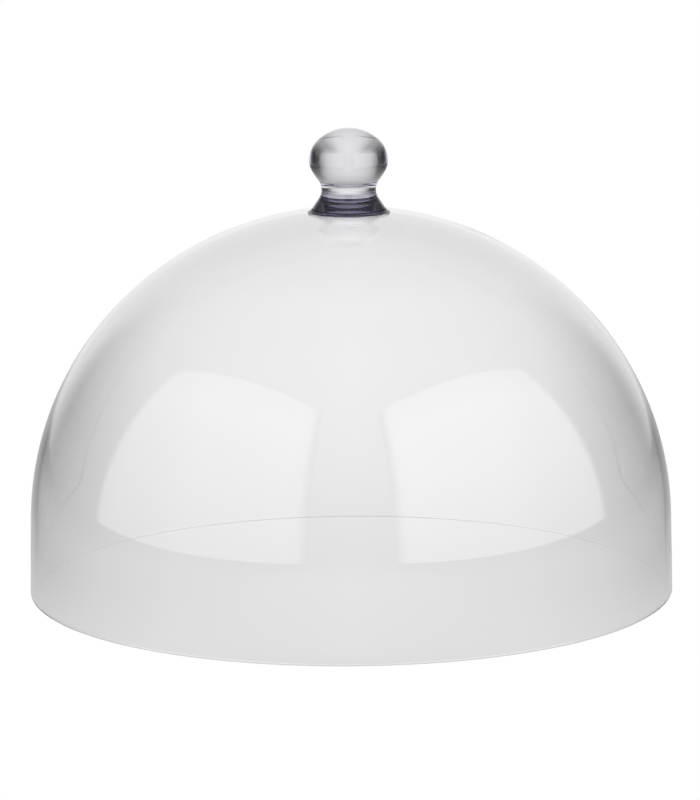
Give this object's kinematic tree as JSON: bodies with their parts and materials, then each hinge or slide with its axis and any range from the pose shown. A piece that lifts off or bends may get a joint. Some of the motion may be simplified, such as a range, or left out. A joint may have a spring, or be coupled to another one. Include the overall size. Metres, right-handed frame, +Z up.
{
  "type": "cake stand dome",
  "caption": "Clear moulded plastic dome with a steep rim wall and a solid ball knob on a flared neck; covers cakes on a stand or plate.",
  "frame": {"origin": "centre of the circle that the rim rests on, at the bottom of the bounding box", "axes": "+Z up along the axis of revolution, from the rim to the knob; X and Y are any two directions across the rim"},
  "size_m": [0.2999, 0.3, 0.216],
  "materials": {
    "shell_plastic": "clear, polished, faint violet tint along the wall",
    "knob_plastic": "clear, solid, polished, faint violet tint",
    "clear_cement": "see-through cured cement with a violet tint, glossy"
  },
  "bodies": {
    "root": {"dome_shell": "shell_plastic", "knob": "knob_plastic", "cement_ring": "clear_cement"}
  },
  "joints": []
}
